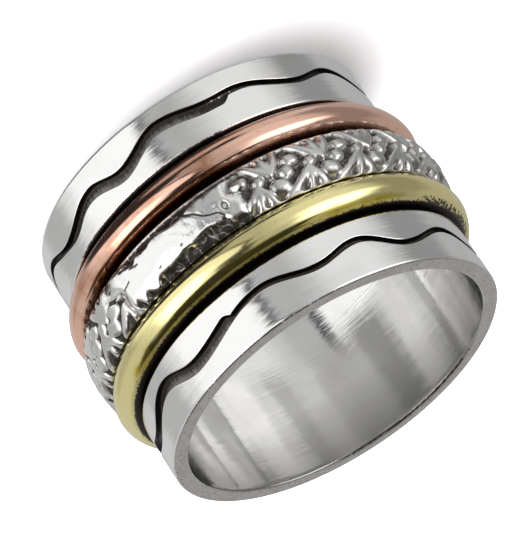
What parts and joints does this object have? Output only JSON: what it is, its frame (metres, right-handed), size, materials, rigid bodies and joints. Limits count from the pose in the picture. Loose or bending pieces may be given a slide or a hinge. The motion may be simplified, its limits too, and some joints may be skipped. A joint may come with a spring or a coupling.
{
  "type": "spinner ring",
  "caption": "Wide silver finger ring with two raised, wavy-grooved collars and loose copper, patterned silver and brass rings that turn in the channel between them.",
  "frame": {"origin": "centre of the finger hole in the lower rim face, the face that the ring rests on", "axes": "+Z along the finger hole from the lower rim, beside the copper spinner, to the upper rim, beside the brass spinner; -Y towards the side that the picture shows"},
  "size_m": [0.022, 0.0219, 0.0147],
  "materials": {
    "band_silver": "polished sterling silver with fine brushing round the ring, grooves blackened",
    "copper": "polished copper with darkened flanks",
    "patterned_silver": "polished high spots, blackened recesses",
    "brass": "polished pale brass with darkened flanks"
  },
  "bodies": {
    "band": {"band": "band_silver"},
    "copper_ring": {"copper_spinner": "copper"},
    "patterned_ring": {"patterned_spinner": "patterned_silver"},
    "brass_ring": {"brass_spinner": "brass"}
  },
  "joints": [
    {"name": "copper_spin", "type": "hinge", "parent": "band", "child": "copper_ring", "pos_m": [0, 0, 0.00465], "axis": [0, 0, 1], "continuous": true},
    {"name": "patterned_spin", "type": "hinge", "parent": "band", "child": "patterned_ring", "pos_m": [0, 0, 0.00738], "axis": [0, 0, 1], "continuous": true},
    {"name": "brass_spin", "type": "hinge", "parent": "band", "child": "brass_ring", "pos_m": [0, 0, 0.00995], "axis": [0, 0, 1], "continuous": true}
  ]
}
